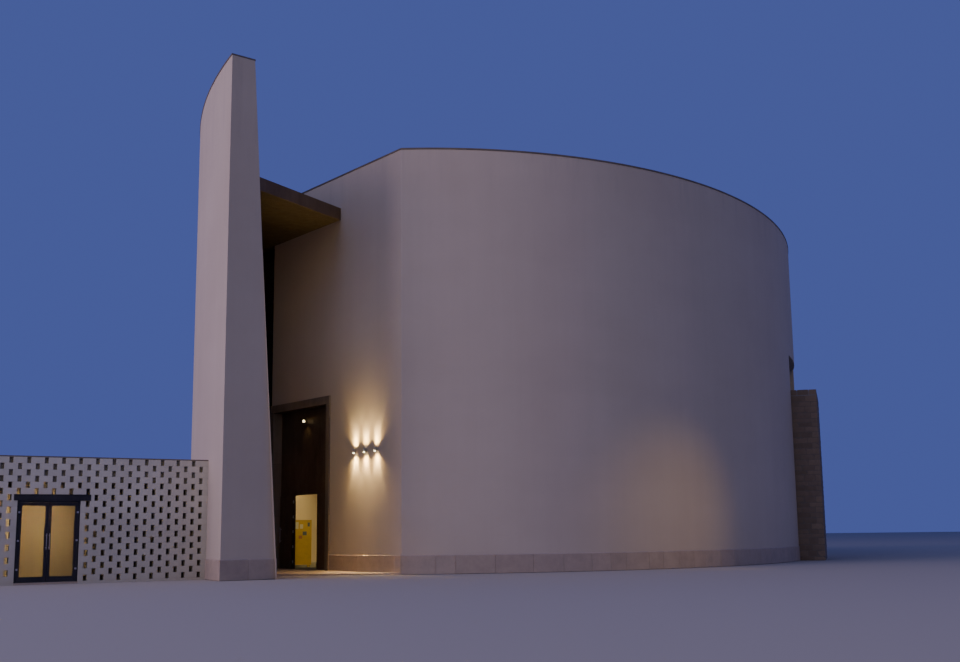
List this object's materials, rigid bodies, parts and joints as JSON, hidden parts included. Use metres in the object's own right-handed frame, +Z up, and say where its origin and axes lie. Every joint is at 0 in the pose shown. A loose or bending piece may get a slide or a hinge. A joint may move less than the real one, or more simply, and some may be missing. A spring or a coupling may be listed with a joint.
{
  "type": "modern church building",
  "caption": "Oval plastered nave between a high curved wall and a drum, with a canopied bronze portal, a stone side chapel and a low wing behind a pierced screen wall.",
  "frame": {"origin": "on the ground, at the centre of the ellipse that sets out the right-hand curved wall, under the nave floor", "axes": "+Z up, +X to the right as seen from the entrance front, +Y away from the viewer, towards the rear"},
  "size_m": [29.55, 38.3319, 14.19],
  "materials": {
    "plaster": "fine lime plaster, matt, faintly streaked",
    "pale_stone": "honed pale stone slabs",
    "dark_stone": "rough dark stone in courses",
    "screen_block": "white painted blocks",
    "concrete": "ground concrete",
    "roofing": "grey roofing felt",
    "bronze": "dark brown patinated sheet",
    "dark_metal": "dark grey coated sheet and frames",
    "timber": "oiled boards",
    "glass": "dark glazing",
    "steel": "brushed lamp housings",
    "yellow_board": "yellow painted panel"
  },
  "bodies": {
    "building": {"nave_floor": "concrete", "nave_roof": "roofing", "left_shell_1": "plaster", "left_shell_2": "plaster", "left_shell_3": "plaster", "left_shell_4": "plaster", "left_shell_coping": "dark_metal", "left_shell_plinth": "pale_stone", "drum_wall_1": "plaster", "drum_wall_2": "plaster", "drum_wall_3": "plaster", "drum_wall_over_chapel": "plaster", "drum_wall_4": "plaster", "drum_wall_5": "plaster", "drum_wall_6": "plaster", "drum_coping": "dark_metal", "drum_plinth_front": "pale_stone", "drum_plinth_rear": "pale_stone", "entrance_wall": "plaster", "entrance_wall_over_portal": "plaster", "entrance_landing": "pale_stone", "portal_surround": "bronze", "portal_panel_right": "bronze", "portal_panel_left": "bronze", "portal_panel_over": "bronze", "notice_board": "yellow_board", "slot_frame": "dark_metal", "slot_glass": "glass", "canopy_slab": "roofing", "canopy_soffit": "timber", "canopy_fascia": "bronze", "wall_light_1": "steel", "wall_light_2": "steel", "wall_light_3": "steel", "portal_lantern": "steel", "chapel_front_wall": "dark_stone", "chapel_rear_wall": "dark_stone", "chapel_outer_wall": "dark_stone", "chapel_roof": "dark_stone", "chapel_clerestory": "dark_metal", "screen_wall_right": "screen_block", "screen_wall_over_door": "screen_block", "screen_wall_left": "screen_block", "wing_lintel": "dark_metal", "wing_door_frame": "dark_metal", "wing_end_wall": "plaster", "wing_back_wall": "plaster", "wing_floor": "concrete", "wing_roof": "roofing", "wing_edge_beam": "concrete", "wing_threshold": "pale_stone"},
    "portal_leaf_right": {"door_leaf_right": "bronze"},
    "portal_leaf_left": {"door_leaf_left": "bronze"},
    "wing_leaf_right": {"wing_door_leaf_right": "dark_metal"},
    "wing_leaf_left": {"wing_door_leaf_left": "dark_metal"}
  },
  "joints": [
    {"name": "portal_right_hinge", "type": "hinge", "parent": "building", "child": "portal_leaf_right", "pos_m": [-3.42837, -16.5431, 0.05], "axis": [0, 0, 1], "range_deg": [-180, 0]},
    {"name": "portal_left_hinge", "type": "hinge", "parent": "building", "child": "portal_leaf_left", "pos_m": [-4.41562, -15.284, 0.05], "axis": [0, 0, 1], "range_deg": [0, 180]},
    {"name": "wing_right_hinge", "type": "hinge", "parent": "building", "child": "wing_leaf_right", "pos_m": [-8.41629, -24.69876, 0.05], "axis": [0, 0, 1], "range_deg": [0, 95]},
    {"name": "wing_left_hinge", "type": "hinge", "parent": "building", "child": "wing_leaf_left", "pos_m": [-9.6367, -25.48435, 0.05], "axis": [0, 0, 1], "range_deg": [-95, 0]}
  ]
}
